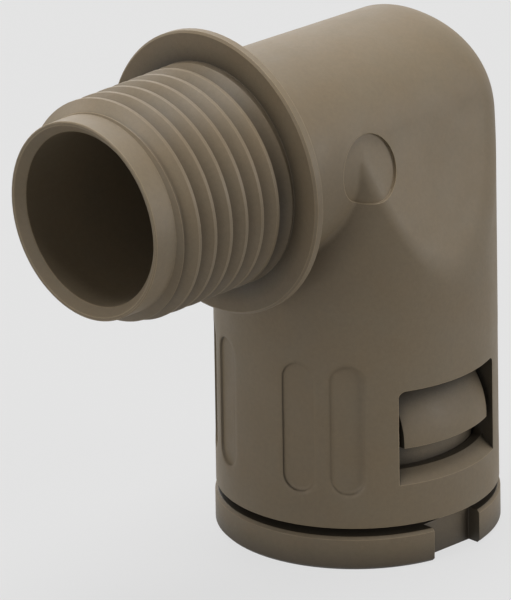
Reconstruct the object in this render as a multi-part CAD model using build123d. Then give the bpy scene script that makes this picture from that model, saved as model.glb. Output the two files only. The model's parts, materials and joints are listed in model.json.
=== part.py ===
from build123d import *
import math
import os

# Right-angle conduit gland with a 16 mm spigot: one elbow housing and its snap-in locking ring.
# Millimetres. The socket axis is Z, with the origin on it in the bottom face of the ring.
# The spigot points along -X, and the latch windows face -Y and +Y.

# Conduit that the socket takes
conduit_r = 6.5
conduit_valley_r = 5.2      # bottom of the conduit's corrugation

# Clearances
conduit_gap = 0.25          # radial, conduit in the ring
claw_bite_gap = 0.15        # radial, claw tip in a valley of the conduit
running_gap = 0.08          # radial, ring skirt in the socket
ring_travel_up = 0.6        # from the drawn position to the closed one
ring_travel_down = 1.7      # from the drawn position to the latch stop
closed_gap = 0.05           # left between ring and housing when closed
latch_gap = 0.05            # left between tongue and sill at the latch stop
window_top_gap = 0.1        # left over the tongue when closed
window_side_gap = 0.57      # each side of a tongue in its window
skirt_end_gap = 0.3         # left over the skirt when closed

# Walls round the conduit
skirt_wall = 1.47
socket_wall = 1.6
ring_overhang = 0.07        # ring flange beyond the column

# Heights of the socket
ring_flange_height = 2.45
conduit_seat_depth = 3.6    # from the step over the skirt to the conduit's stop
branch_rise = 26.65         # from the housing's bottom edge to the branch axis
socket_lead = 0.4           # chamfer where the skirt goes in
corner_roof = 3.2           # 45 degree roof where the passage turns into the branch

# Spigot, as distances from the socket axis and along it
flange_back = 12.95
flange_thickness = 0.8
flange_overhang = 2.15      # beyond the thread
flange_edge = 0.16          # chamfer
thread_r = 8.0              # over the crests
thread_length = 9.85        # from the front of the flange
thread_lead = 0.65          # cone down to the pilot
pilot_step = 0.88
pilot_length = 1.9
pilot_wall = 0.87
rim_ease = 0.08
mouth_chamfer = 0.6
branch_bore_draft = 1.3     # degrees, narrower towards the corner

# Branch tube and corner
tube_wall = 1.52            # at the socket axis
tube_draft = 1.9            # degrees, wider towards the flange
flank_tilt = 16.0           # degrees, of the two flat flanks under the branch
dome_radius = 7.0           # round upper end of the column
corner_overlap = 1.0        # the tube starts this far out, where the dome still covers it

# Shallow round recess in the -Y side of the corner, at the height of the branch axis
mark_middle = 5.95          # from the socket axis
mark_r = 2.45
mark_depth = 0.22

# Latch windows
window_half_width = 4.62
window_corner = 0.5
sill_rise = 3.85            # inner edge of the sill over the housing's bottom edge
sill_drop = 0.85            # the sill falls by this much towards the outside
sill_run = 0.95

# Grip flutes in pairs beside the branch direction, as angles from it
flute_angles = (20.6, 41.2)
flute_width = 2.4
flute_length = 9.6
flute_rise = 7.3            # middle of a flute over the housing's bottom edge
flute_depth = 0.24

# Locking ring
ring_edge = 0.2             # chamfer
skirt_above_tongue = 2.2
slot_width = 0.8
slot_rise = 1.95            # slots start this far over the ring flange
notch_half_width = 2.22
notch_depth = 1.3           # in from the ring's rim to the flat floor

# Latch tongues on the skirt
tongue_height = 3.7
tongue_inset = 0.3          # behind the column's outer face
tongue_bulge_rise = 2.1
tongue_bulge_fall = 0.35

# Claws inside the skirt
claw_depth = 2.9            # below the end of the skirt
claw_back = 0.3
claw_land = 0.3
claw_ramp = 1.6

# Radii that follow from the ones above
skirt_bore_r = conduit_r + conduit_gap
skirt_r = skirt_bore_r + skirt_wall
socket_r = skirt_r + running_gap
column_r = socket_r + socket_wall
ring_flange_r = column_r + ring_overhang
notch_floor = ring_flange_r - notch_depth
claw_tip_r = conduit_valley_r + claw_bite_gap
tongue_r = column_r - tongue_inset
tongue_half_width = window_half_width - window_side_gap
flange_r = thread_r + flange_overhang
pilot_r = thread_r - pilot_step
branch_bore_r = pilot_r - pilot_wall

# Distances from the socket axis that follow
flange_front = flange_back + flange_thickness
thread_end = flange_front + thread_length
spigot_tip = thread_end + thread_lead + pilot_length
passage_r = branch_bore_r - spigot_tip * math.tan(math.radians(branch_bore_draft))
tube_r = passage_r + tube_wall

# Heights that follow
housing_bottom = ring_flange_height + ring_travel_up + closed_gap
branch_height = housing_bottom + branch_rise
window_bottom = housing_bottom + sill_rise
tongue_bottom = window_bottom + ring_travel_down + latch_gap
tongue_top = tongue_bottom + tongue_height
window_top = tongue_top + ring_travel_up + window_top_gap
skirt_top = tongue_top + skirt_above_tongue
socket_top = skirt_top + ring_travel_up + skirt_end_gap
conduit_stop = socket_top + conduit_seat_depth
flute_middle = housing_bottom + flute_rise
slot_bottom = ring_flange_height + slot_rise
claw_top = skirt_top - claw_depth

# Frame of the branch: its Z runs along the spigot and its X towards the -Y side
branch_plane = Plane(origin=(0, 0, branch_height), x_dir=(0, -1, 0), z_dir=(-1, 0, 0))


def tube_radius(distance):
    """Outer radius of the tapered branch tube at a distance from the socket axis."""
    return tube_r + distance * math.tan(math.radians(tube_draft))


def turned_solid(points):
    """Solid of revolution about Z from radius and height points, with its seam at the +X side."""
    return revolve(Plane.XZ * make_face(Polyline(*points, close=True)), Axis.Z, 360)


def turned_branch(points):
    """Solid of revolution about the branch axis from radius and distance points."""
    return branch_plane * Rot(0, 0, 180) * turned_solid(points)


def cone_between(start, end, r_start, r_end):
    """Solid cone along the branch, between two distances from the socket axis."""
    return turned_branch([(0, start), (r_start, start), (r_end, end), (0, end)])


def corner_blank():
    """Tapered round back and its two inclined flanks, before the column trims them."""
    ahead = -2 * column_r
    cone = cone_between(ahead, column_r, tube_radius(ahead), tube_radius(column_r))
    tilt = math.radians(flank_tilt)
    foot = -branch_height
    stations = []
    for distance in (ahead, column_r):
        r = tube_radius(distance)
        side = r * math.cos(tilt)
        rise = r * math.sin(tilt)
        foot_side = side + (rise - foot) * math.tan(tilt)
        outline = Polyline((side, rise), (foot_side, foot), (-foot_side, foot), (-side, rise), close=True)
        station = branch_plane * Plane.XY.offset(distance)
        stations.append(station * make_face(outline))
    return cone + loft(stations, ruled=True)


def domed_column():
    """Socket column with its round upper end, turned about the socket axis."""
    top = branch_height + tube_radius(2 * corner_overlap)
    flat_r = column_r - dome_radius
    side = top - dome_radius
    edge = [
        Line((0, housing_bottom), (column_r, housing_bottom)),
        Line((column_r, housing_bottom), (column_r, side)),
        RadiusArc((column_r, side), (flat_r, top), -dome_radius),
        Line((flat_r, top), (0, top)),
        Line((0, top), (0, housing_bottom)),
    ]
    return revolve(Plane.XZ * make_face(edge), Axis.Z, 360)


def elbow_outside():
    """Column, corner and branch tube as one outer form."""
    corner = domed_column() & corner_blank()
    tube = cone_between(corner_overlap, flange_back, tube_radius(corner_overlap), tube_radius(flange_back))
    return corner + tube


def spigot():
    """Flange, thread cylinder over its crests, lead cone and pilot."""
    return turned_branch(
        [
            (0, flange_back),
            (flange_r - flange_edge, flange_back),
            (flange_r, flange_back + flange_edge),
            (flange_r, flange_front - flange_edge),
            (flange_r - flange_edge, flange_front),
            (thread_r, flange_front),
            (thread_r, thread_end),
            (pilot_r, thread_end + thread_lead),
            (pilot_r, spigot_tip - rim_ease),
            (pilot_r - rim_ease, spigot_tip),
            (0, spigot_tip),
        ]
    )


def passages():
    """Everything that the cable and the locking ring run through."""
    socket = turned_solid(
        [
            (0, housing_bottom - socket_lead),
            (socket_r + 2 * socket_lead, housing_bottom - socket_lead),
            (socket_r, housing_bottom + socket_lead),
            (socket_r, socket_top),
            (skirt_bore_r, socket_top),
            (skirt_bore_r, conduit_stop),
            (passage_r, conduit_stop),
            (passage_r, branch_height),
            (passage_r - corner_roof, branch_height + corner_roof),
            (0, branch_height + corner_roof),
        ]
    )
    branch = turned_branch(
        [
            (0, 0),
            (passage_r, 0),
            (branch_bore_r, spigot_tip - mouth_chamfer),
            (branch_bore_r + mouth_chamfer, spigot_tip),
            (0, spigot_tip),
        ]
    )
    return socket + branch


def window_cut():
    """One latch window with its falling sill, on the -Y side."""
    height = window_top - window_bottom
    middle = (window_top + window_bottom) / 2
    opening = Plane.XZ * Pos(0, middle) * RectangleRounded(2 * window_half_width, height, window_corner)
    cut = extrude(opening, amount=2 * column_r)
    inner = column_r - sill_run
    outer = column_r + sill_run
    sill = turned_solid(
        [
            (inner, window_bottom + window_corner),
            (inner, window_bottom),
            (outer, window_bottom - 2 * sill_drop),
            (outer, window_bottom + window_corner),
        ]
    )
    width = Pos(0, -column_r, window_bottom) * Box(2 * window_half_width, 2 * column_r, 4 * sill_drop)
    return cut + (sill & width)


def mark_cut():
    """Round recess whose floor repeats the outer form one depth further in."""
    outward = Plane(origin=(-mark_middle, 0, branch_height), z_dir=(0, -1, 0))
    disc = Cylinder(mark_r, 2 * column_r, align=(Align.CENTER, Align.CENTER, Align.MIN))
    return outward * disc - Pos(0, mark_depth, 0) * elbow_outside()


def flute_cut(angle):
    """One shallow round-ended flute at an angle from the branch direction."""
    outward = Rot(0, 0, 180 + angle)
    face_plane = Plane(origin=(column_r - flute_depth, 0, flute_middle), x_dir=(0, 0, 1), z_dir=(1, 0, 0))
    return outward * extrude(face_plane * SlotOverall(flute_length, flute_width), amount=4 * flute_depth)


def elbow_housing():
    """The housing moulding."""
    body = elbow_outside() + spigot() - passages() - mark_cut()
    for turn in (0, 180):
        body -= Rot(0, 0, turn) * window_cut()
    for angle in flute_angles:
        for turned in (angle, -angle, 180 + angle, 180 - angle):
            body -= flute_cut(turned)
    return body


def latch_tongue():
    """Outward barb of one latch, as a turned form cut to the tongue's width."""
    inside = skirt_r - skirt_wall / 2
    bulge = (tongue_r - tongue_bulge_fall, tongue_bottom + tongue_bulge_rise)
    edge = [
        Line((inside, tongue_bottom), (tongue_r, tongue_bottom)),
        ThreePointArc((tongue_r, tongue_bottom), bulge, (skirt_r, tongue_top)),
        Line((skirt_r, tongue_top), (inside, tongue_top)),
        Line((inside, tongue_top), (inside, tongue_bottom)),
    ]
    barb = revolve(Plane.XZ * make_face(edge), Axis.Z, 360)
    width = Pos(0, -column_r, 0) * Box(2 * tongue_half_width, 2 * column_r, 2 * skirt_top)
    return barb & width


def ring_body():
    """Flange ring and skirt with the claws, before slots and notches."""
    claw_tip_top = claw_top - claw_back
    claw_tip_bottom = claw_tip_top - claw_land
    return turned_solid(
        [
            (skirt_bore_r, 0),
            (ring_flange_r - ring_edge, 0),
            (ring_flange_r, ring_edge),
            (ring_flange_r, ring_flange_height - ring_edge),
            (ring_flange_r - ring_edge, ring_flange_height),
            (skirt_r, ring_flange_height),
            (skirt_r, skirt_top),
            (skirt_bore_r, skirt_top),
            (skirt_bore_r, claw_top),
            (claw_tip_r, claw_tip_top),
            (claw_tip_r, claw_tip_bottom),
            (skirt_bore_r, claw_tip_bottom - claw_ramp),
        ]
    )


def slot_blade():
    """Thin blade on the +X side that cuts one slot through the skirt and its claw."""
    middle_r = (skirt_r + claw_tip_r) / 2
    reach = 2 * (skirt_r - claw_tip_r)
    return Pos(middle_r, 0, slot_bottom) * Box(
        reach, slot_width, skirt_top, align=(Align.CENTER, Align.CENTER, Align.MIN)
    )


def locking_ring():
    """The locking ring moulding."""
    ring = ring_body()
    for turn in (0, 180):
        ring += Rot(0, 0, turn) * latch_tongue()
    latch_angle = math.degrees(math.asin((tongue_half_width + slot_width / 2) / skirt_r))
    for angle in (0, 90 - latch_angle, 90 + latch_angle):
        for turned in (angle, angle + 180):
            ring -= Rot(0, 0, turned) * slot_blade()
    notch = Pos(0, -notch_floor, 0) * Box(
        2 * notch_half_width, ring_flange_r, 3 * ring_flange_height, align=(Align.CENTER, Align.MAX, Align.CENTER)
    )
    for turn in (0, 180):
        ring -= Rot(0, 0, turn) * notch
    return ring


os.makedirs("parts", exist_ok=True)
export_step(elbow_housing(), "parts/elbow_housing.step")
export_step(locking_ring(), "parts/locking_ring.step")
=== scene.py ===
import json
import math

import bmesh
import bpy
from mathutils import Matrix, Vector

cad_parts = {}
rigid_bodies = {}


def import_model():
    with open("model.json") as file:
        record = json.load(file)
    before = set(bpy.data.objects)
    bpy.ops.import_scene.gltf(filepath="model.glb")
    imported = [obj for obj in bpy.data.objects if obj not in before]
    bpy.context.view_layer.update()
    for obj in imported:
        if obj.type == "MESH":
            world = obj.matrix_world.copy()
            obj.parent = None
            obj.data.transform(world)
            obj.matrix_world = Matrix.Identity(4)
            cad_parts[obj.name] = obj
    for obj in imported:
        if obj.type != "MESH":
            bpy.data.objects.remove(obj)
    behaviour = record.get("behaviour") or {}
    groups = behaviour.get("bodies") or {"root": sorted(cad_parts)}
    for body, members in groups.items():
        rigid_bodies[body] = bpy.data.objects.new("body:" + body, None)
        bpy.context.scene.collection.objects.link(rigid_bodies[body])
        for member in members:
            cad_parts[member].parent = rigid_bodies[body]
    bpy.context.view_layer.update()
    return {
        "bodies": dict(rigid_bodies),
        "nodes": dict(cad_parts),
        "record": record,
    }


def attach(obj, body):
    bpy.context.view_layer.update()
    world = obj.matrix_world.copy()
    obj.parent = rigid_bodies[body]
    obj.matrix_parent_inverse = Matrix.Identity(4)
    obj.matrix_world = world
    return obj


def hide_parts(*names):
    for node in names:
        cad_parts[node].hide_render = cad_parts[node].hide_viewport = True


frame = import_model()
scene = bpy.context.scene

# Sizes are in millimetres, and MM turns them into Blender's metres
MM = 0.001


def mount(name):
    """A mount in the frame's record: its x, y and z in millimetres, and its own sizes."""
    found = next(item for item in frame["record"]["mounts"] if item["name"] == name)
    return [round(v / MM, 6) for v in found["pos_m"]], found["dims"]


# The spigot as its mounts state it, over the crests of the thread
SPIGOT_PLACE, SPIGOT_SIZES = mount("thread_spigot")
FLANGE_PLACE, _ = mount("flange_face")
BRANCH_HEIGHT = SPIGOT_PLACE[2]
FLANGE_FRONT = -FLANGE_PLACE[0]
CREST_R = SPIGOT_SIZES["r_mm"]

# The groove of the thread, which starts at the flange and runs out past the crests
ROOT_R = 7.14
PITCH = 1.5
FIRST_GROOVE = 0.8          # from the flange
ROOT_WIDTH = 0.26
FLANK_SLOPE = math.tan(math.radians(30))
RUN_OUT = 1.0
THREAD_TIP = FLANGE_FRONT + SPIGOT_SIZES["length_mm"] + RUN_OUT
FLANGE_MARGIN = 0.08
CUTTER_RISE = 0.1
GROOVE_STEPS = 144

# The corner: a domed column, a tapered branch tube and two inclined flanks
COLUMN_R = 9.9
DOME_R = 7.0
TUBE_TAPER = math.tan(math.radians(1.9))
TUBE_R = 7.1769             # at the socket axis
TUBE_START = 1.0
TUBE_END = 12.9             # just short of the flange
DOME_SIDE = BRANCH_HEIGHT + TUBE_R + 2 * TUBE_START * TUBE_TAPER - DOME_R
FLANK_TILT = math.radians(16)
CORNER_FOOT = 18.0

# The round recess in the side of the corner
MARK_MIDDLE = 5.95
MARK_R = 2.45
MARK_DEPTH = 0.22
MARK_MARGIN = 0.3           # round the recess, where the plastic is treated like the recess

# The creases, tight under the branch and softer over a stretch up to the socket axis
CREASE_R = 1.0
SOFT_STRETCH = 4.0
SOFT_GROWTH = 0.35
ROOT_FILLET_R = 0.5

# How finely the creases are divided
MERGE_DISTANCE = 0.002
CREASE_MESH = 0.35          # longest edge that stays whole
MOST_DIVISIONS = 10
EDGE_SAMPLES = 8
LEAST_SHIFT = 0.002         # smallest move that is worth a split
CREASE_REACH = 0.3          # how far off the surface a place still counts

# How near a form a point lies that belongs to it, before it is moved and after
ON_SURFACE = 0.02
ON_ROUNDED = 0.01
IN_PLACE = 0.0005
NEWTON_STEPS = 5
SLOPE_STEP = 0.01
UPRIGHT = 0.02              # a recess wall's normal points out of the recess by less than this

# Normals
SAME_SIDE = 0.8             # a true normal agrees with its face by more than this
SHARP_ANGLE = math.radians(35)
NORMAL_STORE = "packed_normal"

# Places that the plastic treats apart: the grip flutes, the spigot's lip and the outside of the branch
FLUTE_MIDDLE = 10.4
FLUTE_REACH = 5.4
FLUTE_SIDE = 5.6
LIP_START = 25.3
INSIDE_R = 6.4              # between the branch's bore and its outside

# Rounding of the edges by their shading
EDGE_SOFTNESS = 0.08
FLUTE_SOFTNESS = 0.5
LIP_SOFTNESS = 0.12

# Painted highlights on edges, painted shade in corners and far into the passage, as shares of the plain
# colour
PAINTED_EDGE_HIGHLIGHT = 0.9
EDGE_TURN = (1.0, 0.9)      # cosine between the true normal and the rounded one, for no painted highlight and all of it
FLUTE_HIGHLIGHT_SHARE = 0.15           # of the painted edge highlight elsewhere
PAINTED_LIGHT_REACH = 3.0
PAINTED_SHADE_HIDDEN = (0.1, 0.5)   # hidden share of the surroundings, for no painted shade and all of it
FULL_PAINTED_SHADE = 0.25
THREAD_PAINTED_SHADE = 0.7          # of the painted corner shade elsewhere
DEEP_REACH = 40.0
DEEP_SEEN = (0.02, 0.25)    # seen share of the surroundings, for the darkest and the plain colour
DEEP_SHADE = 0.55

# Warm grey, which drifts a little between two tones
WARM_TONE = (139, 122, 97)
COOL_TONE = (134, 120, 98)

# Height of the fine relief, and the part of it that is grain
RELIEF = 0.012
GRAIN_SHARE = 0.25

# Floor and surroundings
PALE_TONE = (228, 228, 228)
FLOOR_R = 1200.0
FLOOR_DROP = 0.02           # keeps the floor off the ring's underside
FLOOR_GLOW = 0.88
FLOOR_DIMNESS = 0.2
SURROUND_LIGHT = 0.01

# Where the lamps aim
OBJECT_MIDDLE = (-8.0, 0.0, 20.0)

# The camera at the photograph's angle, in degrees and millimetres
VIEW_AZIMUTH = -44.522
VIEW_ELEVATION = 22.098
VIEW_ROLL = -0.878
VIEW_DISTANCE = 1240.2
VIEW_HEIGHT = 14.883
VIEW_LEFT = 6.974
VIEW_UP = 1.238
PIXELS_PER_MM = 14.357
PHOTO_HEIGHT = 600


def srgb(tone):
    """A display colour as the linear one that a shader takes."""
    return tuple(((v / 255 + 0.055) / 1.055) ** 2.4 for v in tone) + (1.0,)


def new_object(name, bm):
    mesh = bpy.data.meshes.new(name)
    bm.to_mesh(mesh)
    bm.free()
    obj = bpy.data.objects.new(name, mesh)
    scene.collection.objects.link(obj)
    return obj


# Thread


def groove_ring(bm, theta):
    """One section of the groove cutter: four corners from the root to just over the crests.
    Near the flange the groove is only as deep as its width leaves room for."""
    ahead = FIRST_GROOVE + PITCH * theta / (2 * math.pi)
    room = (ahead - ROOT_WIDTH / 2 - FLANGE_MARGIN) / FLANK_SLOPE
    root = CREST_R - min(room, CREST_R - ROOT_R)
    over = CREST_R + CUTTER_RISE
    half_root = ROOT_WIDTH / 2
    half_over = half_root + (over - root) * FLANK_SLOPE
    corners = []
    for r, half in ((root, -half_root), (root, half_root), (over, half_over), (over, -half_over)):
        x = -(FLANGE_FRONT + ahead + half)
        y = -r * math.cos(theta)
        z = BRANCH_HEIGHT + r * math.sin(theta)
        corners.append(bm.verts.new((x * MM, y * MM, z * MM)))
    return corners


def groove_cutter():
    """A closed helical bar with the groove's section, from the flange to past the tip of the thread."""
    bm = bmesh.new()
    turn = 2 * math.pi
    no_depth = ROOT_WIDTH / 2 + FLANGE_MARGIN - FIRST_GROOVE
    first = turn * no_depth / PITCH
    last = turn * (THREAD_TIP - FLANGE_FRONT - FIRST_GROOVE) / PITCH
    count = int((last - first) / turn * GROOVE_STEPS)
    rings = [groove_ring(bm, first + (last - first) * i / count) for i in range(count + 1)]
    for here, there in zip(rings, rings[1:]):
        for k in range(4):
            after = (k + 1) % 4
            bm.faces.new((here[k], here[after], there[after], there[k]))
    bm.faces.new(rings[0])
    bm.faces.new(tuple(reversed(rings[-1])))
    bmesh.ops.recalc_face_normals(bm, faces=bm.faces)
    return new_object("groove_cutter", bm)


def cut_groove(piece):
    """Cuts the groove into a piece, which becomes a plain mesh again."""
    cutter = groove_cutter()
    cut = piece.modifiers.new("groove", "BOOLEAN")
    cut.object = cutter
    cut.operation = "DIFFERENCE"
    cut.solver = "EXACT"
    graph = bpy.context.evaluated_depsgraph_get()
    done = bpy.data.meshes.new_from_object(piece.evaluated_get(graph))
    piece.modifiers.clear()
    piece.data = done
    done.name = piece.name
    bpy.data.objects.remove(cutter)


# Forms of the corner: each gives how far a point lies outside it, and the direction away from it


def column_form(p):
    """The domed column."""
    radius = max(math.hypot(p.x, p.y), 1e-6)
    out = max(radius - (COLUMN_R - DOME_R), 0.0)
    away = Vector((p.x * out / radius, p.y * out / radius, max(p.z - DOME_SIDE, 0.0)))
    return away.length - DOME_R, away.normalized()


def tube_form(p):
    """The tapered branch tube."""
    rise = p.z - BRANCH_HEIGHT
    away = Vector((0.0, p.y, rise))
    return away.length - TUBE_R + p.x * TUBE_TAPER, away.normalized()


def blank_form(p):
    """The round back with its two flanks, which the column trims."""
    rise = p.z - BRANCH_HEIGHT
    if rise >= abs(p.y) * math.tan(FLANK_TILT):
        return tube_form(p)
    away = Vector((0.0, math.copysign(math.cos(FLANK_TILT), p.y), math.sin(FLANK_TILT)))
    return away.dot((0.0, p.y, rise)) - TUBE_R + p.x * TUBE_TAPER, away


def common_form(first, second, radius):
    """Inside both forms, with the edge between them rounded, over the same width at shallow edges too."""
    (a, away_a), (b, away_b) = first, second
    r = radius * math.sqrt(max(1 - away_a.dot(away_b), 0.0) / 2)
    share_a = max(r + a, 0.0)
    share_b = max(r + b, 0.0)
    if share_a + share_b == 0:
        return max(first, second, key=lambda form: form[0])
    away = (away_a * share_a + away_b * share_b).normalized()
    return min(-r, max(a, b)) + math.hypot(share_a, share_b), away


# The elbow's outside from these forms: each gives only how far a point lies outside it


def joined_form(first, second, radius):
    """Both forms together, with the corner between them filled round."""
    (a, away_a), (b, away_b) = first, second
    r = radius * (1 - away_a.dot(away_b))
    return max(r, min(a, b)) - math.hypot(max(r - a, 0.0), max(r - b, 0.0))


def crease_radius(p):
    """Tight under the branch, and softer towards the back."""
    return CREASE_R + SOFT_GROWTH * min(max(p.x + SOFT_STRETCH, 0.0), SOFT_STRETCH)


def elbow_form(p, softness=1.0):
    """The elbow with soft creases, or with sharp ones for a softness of 0."""
    corner = common_form(column_form(p), blank_form(p), crease_radius(p) * softness)
    if -p.x < TUBE_START:
        return corner[0]
    return joined_form(corner, tube_form(p), ROOT_FILLET_R * softness)


def sharp_form(p):
    return elbow_form(p, 0.0)


def over_recess(p):
    """The place on the elbow's outside that a point of the recess floor repeats."""
    return p - Vector((0, MARK_DEPTH, 0))


def recess_form(p):
    """The elbow's form moved in to the floor of the round recess."""
    return elbow_form(over_recess(p))


def slope_of(form, p):
    """How a form grows along each axis at a point."""
    axes = (Vector((SLOPE_STEP, 0, 0)), Vector((0, SLOPE_STEP, 0)), Vector((0, 0, SLOPE_STEP)))
    return Vector([(form(p + a) - form(p - a)) / (2 * SLOPE_STEP) for a in axes])


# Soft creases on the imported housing


def in_recess(p):
    return p.y < 0 and math.hypot(p.x + MARK_MIDDLE, p.z - BRANCH_HEIGHT) < MARK_R + ON_ROUNDED


def form_at(p):
    """The form whose surface a packed point lies on, or None off the elbow's outside."""
    if p.x < -TUBE_END or p.z < CORNER_FOOT:
        return None
    if abs(sharp_form(p)) < ON_SURFACE:
        return elbow_form
    if in_recess(p) and abs(sharp_form(over_recess(p))) < ON_SURFACE:
        return recess_form
    return None


def near_crease(edge):
    """Whether rounding the creases would move any part of a long edge."""
    if edge.calc_length() < CREASE_MESH * MM:
        return False
    a, b = (v.co / MM for v in edge.verts)
    if max(a.z, b.z) < CORNER_FOOT or max(a.x, b.x) < -TUBE_END:
        return False
    for k in range(EDGE_SAMPLES + 1):
        p = a.lerp(b, k / EDGE_SAMPLES)
        sharp = sharp_form(p)
        if abs(sharp) < CREASE_REACH and abs(elbow_form(p) - sharp) > LEAST_SHIFT:
            return True
    return False


def refine_creases(bm):
    """Splits the long edges near a crease, so that it can be rounded."""
    for _ in range(MOST_DIVISIONS):
        split = [edge for edge in bm.edges if near_crease(edge)]
        if not split:
            return
        bmesh.ops.subdivide_edges(bm, edges=split, cuts=1)
        bmesh.ops.triangulate(bm, faces=[f for f in bm.faces if len(f.verts) > 3])


def move_to_form(v, form):
    """Moves a point on to a form. A point of the recess wall stays in that wall."""
    p = v.co / MM
    if abs(form(p)) < IN_PLACE:
        return
    on_wall = in_recess(p) and any(abs(f.normal.y) < UPRIGHT for f in v.link_faces)
    for _ in range(NEWTON_STEPS):
        slope = slope_of(form, p)
        if on_wall:
            p.y -= form(p) / slope.y
        else:
            p -= slope * (form(p) / slope.length_squared)
    v.co = p * MM


def lies_on(face, form):
    return all(abs(form(v.co / MM)) <= ON_ROUNDED for v in face.verts)


def form_under(face, forms):
    """The form that a whole face lies on, or None."""
    found = {forms[v] for v in face.verts}
    if None in found:
        return None
    if recess_form in found and lies_on(face, recess_form):
        return recess_form
    return elbow_form if lies_on(face, elbow_form) else None


def round_creases(bm):
    """Moves the outer points near a crease on to the rounded form, and sets the true normals there."""
    forms = {v: form_at(v.co / MM) for v in bm.verts}
    for v, form in forms.items():
        if form is not None:
            move_to_form(v, form)
    bm.normal_update()
    layer = bm.loops.layers.float_vector[NORMAL_STORE]
    for face in bm.faces:
        form = form_under(face, forms)
        if form is None:
            continue
        for loop in face.loops:
            normal = slope_of(form, loop.vert.co / MM).normalized()
            if normal.dot(face.normal) > SAME_SIDE:
                loop[layer] = normal


def packed_housing():
    """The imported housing's mesh, with its exact normals kept beside it while it is changed."""
    mesh = frame["nodes"]["elbow_housing"].data.copy()
    normals = mesh.attributes.new(NORMAL_STORE, "FLOAT_VECTOR", "CORNER")
    normals.data.foreach_set("vector", [v for n in mesh.corner_normals for v in n.vector])
    return mesh


def restore_normals(mesh):
    mesh.shade_smooth()
    mesh.set_sharp_from_angle(angle=SHARP_ANGLE)
    store = mesh.attributes[NORMAL_STORE]
    normals = [tuple(item.vector) for item in store.data]
    mesh.attributes.remove(store)
    mesh.normals_split_custom_set(normals)


def threaded_housing():
    """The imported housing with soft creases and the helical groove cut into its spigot."""
    bm = bmesh.new()
    bm.from_mesh(packed_housing())
    bmesh.ops.remove_doubles(bm, verts=bm.verts, dist=MERGE_DISTANCE * MM)
    refine_creases(bm)
    round_creases(bm)
    piece = new_object("threaded_elbow_housing", bm)
    cut_groove(piece)
    restore_normals(piece.data)
    return piece


# Material


class Graph:
    """Short calls for building a node tree."""

    def __init__(self, owner):
        owner.use_nodes = True
        self.tree = owner.node_tree
        self.tree.nodes.clear()

    def node(self, kind, inputs=(), **settings):
        """A node with its settings, and its inputs linked or set by name or number."""
        made = self.tree.nodes.new(kind)
        for name, value in settings.items():
            setattr(made, name, value)
        for name, value in dict(inputs).items():
            if isinstance(value, bpy.types.NodeSocket):
                self.tree.links.new(value, made.inputs[name])
            else:
                made.inputs[name].default_value = value
        return made

    def calc(self, operation, *values):
        return self.node("ShaderNodeMath", dict(enumerate(values)), operation=operation).outputs[0]

    def product(self, first, *others):
        for other in others:
            first = self.calc("MULTIPLY", first, other)
        return first

    def mapped(self, value, source, target):
        """A value mapped from one range to another and held inside it."""
        names = ("From Min", "From Max", "To Min", "To Max")
        inputs = dict(zip(names, source + target), Value=value)
        return self.node("ShaderNodeMapRange", inputs).outputs["Result"]

    def noise(self, where, size, detail, low, high):
        """Noise with features of about a size, mapped from its middle range to low..high."""
        inputs = {"Vector": where, "Scale": 1 / (size * MM), "Detail": detail, "Roughness": 0.55}
        texture = self.node("ShaderNodeTexNoise", inputs)
        return self.mapped(texture.outputs["Fac"], (0.3, 0.7), (low, high))

    def open_share(self, reach):
        """The share of the surroundings that a place sees, when only what lies within reach hides them."""
        return self.node("ShaderNodeAmbientOcclusion", {"Distance": reach * MM}, samples=8).outputs["AO"]

    def mixed(self, share, first, second):
        inputs = {0: share, 1: first.outputs[0], 2: second.outputs[0]}
        return self.node("ShaderNodeMixShader", inputs)

    def finish(self, kind, shader):
        self.tree.links.new(shader.outputs[0], self.node(kind).inputs["Surface"])


def on_flutes(g, at):
    """1 on the grip flutes, which run out softly, and 0 elsewhere."""
    height = g.calc("ABSOLUTE", g.calc("SUBTRACT", at["Z"], FLUTE_MIDDLE * MM))
    high = g.calc("LESS_THAN", height, FLUTE_REACH * MM)
    beside = g.calc("GREATER_THAN", g.calc("ABSOLUTE", at["X"]), FLUTE_SIDE * MM)
    return g.product(high, beside)


def length_of(g, across, up):
    return g.calc("SQRT", g.calc("MULTIPLY_ADD", across, across, g.product(up, up)))


def over_branch(g, at):
    return g.calc("SUBTRACT", at["Z"], BRANCH_HEIGHT * MM)


def on_mark(g, at):
    """1 on the round recess and its wall, and 0 elsewhere."""
    along = g.calc("ADD", at["X"], MARK_MIDDLE * MM)
    near = g.calc("LESS_THAN", length_of(g, along, over_branch(g, at)), (MARK_R + MARK_MARGIN) * MM)
    return g.product(near, g.calc("LESS_THAN", at["Y"], -INSIDE_R * MM))


def on_thread(g, at):
    """1 on the outside of the threaded spigot, and 0 elsewhere."""
    outside = g.calc("GREATER_THAN", length_of(g, at["Y"], over_branch(g, at)), INSIDE_R * MM)
    return g.product(outside, g.calc("LESS_THAN", at["X"], -FLANGE_FRONT * MM))


def soft_normal(g, at, flutes):
    """Edges rounded by their shading, more so on the flutes and on the lip of the spigot."""
    lip = g.calc("LESS_THAN", at["X"], -LIP_START * MM)
    wide = g.calc("MULTIPLY_ADD", flutes, FLUTE_SOFTNESS * MM, EDGE_SOFTNESS * MM)
    softness = g.calc("ADD", wide, g.product(lip, LIP_SOFTNESS * MM))
    return g.node("ShaderNodeBevel", {"Radius": softness}, samples=8).outputs["Normal"]


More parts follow.
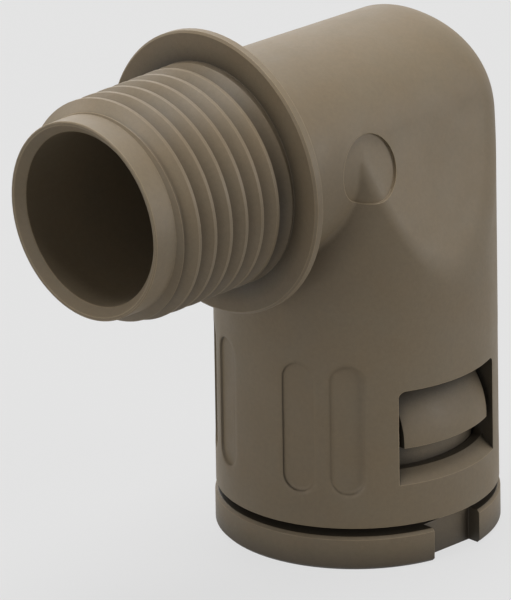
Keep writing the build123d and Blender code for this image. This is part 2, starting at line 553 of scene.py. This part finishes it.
def paint_light_and_shade(g, at, flutes, soft):
    """What the colour is multiplied by: a painted highlight on edges, painted shade in corners and deep in
    the passage.
    """
    # A painted highlight along the edges, fainter where the near surroundings are hidden
    true = g.node("ShaderNodeNewGeometry").outputs["Normal"]
    turned = g.node("ShaderNodeVectorMath", {0: soft, 1: true}, operation="DOT_PRODUCT")
    edge = g.mapped(turned.outputs["Value"], EDGE_TURN, (0.0, 1.0))
    near_open = g.open_share(PAINTED_LIGHT_REACH)
    faint = g.calc("MULTIPLY_ADD", flutes, FLUTE_HIGHLIGHT_SHARE - 1.0, 1.0)
    painted_highlight = g.calc("MULTIPLY_ADD", g.product(edge, near_open, faint), PAINTED_EDGE_HIGHLIGHT, 1.0)

    # No painted corner shade on the flutes and in the round recess, and less of it on the thread
    elsewhere = g.calc("SUBTRACT", g.calc("SUBTRACT", 1.0, flutes), on_mark(g, at))
    takes_painted_shade = g.calc("MULTIPLY_ADD", on_thread(g, at), THREAD_PAINTED_SHADE - 1.0, elsewhere)
    hidden = g.product(g.calc("SUBTRACT", 1.0, near_open), takes_painted_shade)
    painted_corner_shade = g.mapped(hidden, PAINTED_SHADE_HIDDEN, (1.0, FULL_PAINTED_SHADE))

    # Painted shade far into the passage and inside the window, where little of the surroundings is seen
    deep = g.mapped(g.open_share(DEEP_REACH), DEEP_SEEN, (DEEP_SHADE, 1.0))
    return g.product(painted_corner_shade, deep, painted_highlight)


def plastic_colour(g, where, painted_light):
    """A warm grey that drifts a little in tone, with faint flow clouds and a fine speckle, multiplied by
    the painted highlights and shade.
    """
    clouds = g.noise(where, 7.0, 2.0, 0.95, 1.05)
    speckle = g.noise(where, 0.35, 3.0, 0.96, 1.04)
    drift = g.noise(where, 3.5, 3.0, 0.0, 1.0)
    tones = {0: drift, 6: srgb(WARM_TONE), 7: srgb(COOL_TONE)}
    tone = g.node("ShaderNodeMix", tones, data_type="RGBA").outputs[2]
    shade = g.product(clouds, speckle, painted_light)
    return g.node("ShaderNodeVectorMath", {0: tone, 3: shade}, operation="SCALE").outputs["Vector"]


def fine_relief(g, where, soft):
    """The mould's fine grain on slow waves."""
    grain = g.noise(where, 0.16, 2.0, 0.0, 1.0)
    waves = g.noise(where, 2.6, 1.0, 0.0, 1.0)
    height = g.calc("MULTIPLY_ADD", grain, GRAIN_SHARE, waves)
    inputs = {"Strength": 1.0, "Distance": RELIEF * MM, "Height": height, "Normal": soft}
    return g.node("ShaderNodeBump", inputs).outputs["Normal"]


def roughness(g, where):
    """Matt, with broad and fine variation."""
    return g.calc("ADD", g.noise(where, 2.2, 3.0, 0.52, 0.6), g.noise(where, 0.2, 2.0, -0.03, 0.03))


def moulded_plastic(name, offset):
    """Warm grey polyamide with a fine matt mould surface. The offset sets its pattern apart."""
    material = bpy.data.materials.new(name)
    g = Graph(material)
    place = g.node("ShaderNodeTexCoord").outputs["Object"]
    where = g.node("ShaderNodeMapping", {"Vector": place, "Location": offset}).outputs["Vector"]
    at = g.node("ShaderNodeSeparateXYZ", {"Vector": place}).outputs
    flutes = on_flutes(g, at)
    soft = soft_normal(g, at, flutes)
    finish = {
        "Base Color": plastic_colour(g, where, paint_light_and_shade(g, at, flutes, soft)),
        "Roughness": roughness(g, where),
        "Normal": fine_relief(g, where, soft),
        "IOR": 1.5,
        "Specular IOR Level": 0.5,
    }
    g.finish("ShaderNodeOutputMaterial", g.node("ShaderNodeBsdfPrincipled", finish))
    return material


def dress(obj, material):
    obj.data.materials.clear()
    obj.data.materials.append(material)


# Floor and surroundings


def seen_or_mirrored(g):
    """1 for what the camera sees, also in reflections, and 0 for light on its way elsewhere."""
    ray = g.node("ShaderNodeLightPath").outputs
    return g.calc("MAXIMUM", ray["Is Camera Ray"], ray["Is Glossy Ray"])


def backdrop_material():
    """Pale to the camera whatever the light, with the object's own soft shadow, and dim to all else,
    so that little light comes back up from it."""
    material = bpy.data.materials.new("pale_floor")
    g = Graph(material)
    shadowed = g.node("ShaderNodeBsdfDiffuse", {"Color": srgb(PALE_TONE)})
    glow = g.node("ShaderNodeEmission", {"Color": srgb(PALE_TONE), "Strength": 1.0})
    dim = g.node("ShaderNodeBsdfDiffuse", {"Color": (FLOOR_DIMNESS,) * 3 + (1.0,)})
    shown = g.mixed(FLOOR_GLOW, shadowed, glow)
    g.finish("ShaderNodeOutputMaterial", g.mixed(seen_or_mirrored(g), dim, shown))
    return material


def make_floor():
    """A wide round floor that goes up and down with the ring, which the part stands on."""
    bm = bmesh.new()
    bmesh.ops.create_circle(bm, cap_ends=True, segments=96, radius=FLOOR_R * MM)
    bmesh.ops.translate(bm, verts=bm.verts, vec=(0, 0, -FLOOR_DROP * MM))
    floor = new_object("floor", bm)
    floor.parent = frame["bodies"]["ring"]
    dress(floor, backdrop_material())


def make_world():
    """The same pale tone to the camera and in reflections, and a trace of soft light."""
    world = bpy.data.worlds.new("surround")
    scene.world = world
    g = Graph(world)
    light = g.node("ShaderNodeBackground", {"Color": (1.0, 0.99, 0.97, 1.0), "Strength": SURROUND_LIGHT})
    pale = g.node("ShaderNodeBackground", {"Color": srgb(PALE_TONE), "Strength": 1.0})
    g.finish("ShaderNodeOutputWorld", g.mixed(seen_or_mirrored(g), light, pale))


def soft_lamp(name, towards, power, distance=600.0, size=300.0):
    """A round soft lamp that stands in a direction from the middle of the object and faces it."""
    data = bpy.data.lights.new(name, "AREA")
    data.shape = "DISK"
    data.size = size * MM
    data.energy = power
    lamp = bpy.data.objects.new(name, data)
    scene.collection.objects.link(lamp)
    aim = Vector(towards).normalized()
    lamp.location = (Vector(OBJECT_MIDDLE) + aim * distance) * MM
    lamp.rotation_mode = "QUATERNION"
    lamp.rotation_quaternion = aim.to_track_quat("Z", "Y")


# Camera


def make_camera():
    """Looks down at the part from the spigot's side, rolled a little, through a long lens."""
    azimuth, elevation, roll = (math.radians(v) for v in (VIEW_AZIMUTH, VIEW_ELEVATION, VIEW_ROLL))
    flat = math.cos(elevation)
    back = Vector((math.sin(azimuth) * flat, -math.cos(azimuth) * flat, math.sin(elevation)))
    flat_right = Vector((math.cos(azimuth), math.sin(azimuth), 0.0))
    flat_up = back.cross(flat_right)
    right = flat_right * math.cos(roll) + flat_up * math.sin(roll)
    up = flat_up * math.cos(roll) - flat_right * math.sin(roll)
    place = Vector((0, 0, VIEW_HEIGHT)) + back * VIEW_DISTANCE - right * VIEW_LEFT + up * VIEW_UP
    data = bpy.data.cameras.new("camera")
    data.sensor_fit = "VERTICAL"
    data.sensor_height = 36.0
    data.lens = PIXELS_PER_MM * VIEW_DISTANCE * data.sensor_height / PHOTO_HEIGHT
    data.clip_start = 0.05
    data.clip_end = 10.0
    camera = bpy.data.objects.new("camera", data)
    scene.collection.objects.link(camera)
    turn = Matrix((right, up, back)).transposed().to_4x4()
    camera.matrix_world = Matrix.Translation(place * MM) @ turn
    scene.camera = camera


housing = threaded_housing()
dress(housing, moulded_plastic("housing_polyamide", (0.0, 0.0, 0.0)))
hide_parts("elbow_housing")
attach(housing, "housing")

ring = frame["nodes"]["locking_ring"]
dress(ring, moulded_plastic("ring_polyamide", (0.013, 0.007, 0.021)))

make_floor()
make_world()
soft_lamp("top", (0.1, 0.1, 1.0), 2.0, distance=500.0, size=350.0)
soft_lamp("left", (-1.0, 0.2, 0.3), 0.56)
soft_lamp("left_low", (-0.8, -0.3, 0.0), 0.7)
soft_lamp("right_low", (0.5, -0.9, 0.2), 1.13)
soft_lamp("right_back", (0.6, 0.5, 0.6), 0.29)
soft_lamp("back", (0.5, 1.0, 0.4), 0.8)
make_camera()
scene.view_settings.view_transform = "Standard"
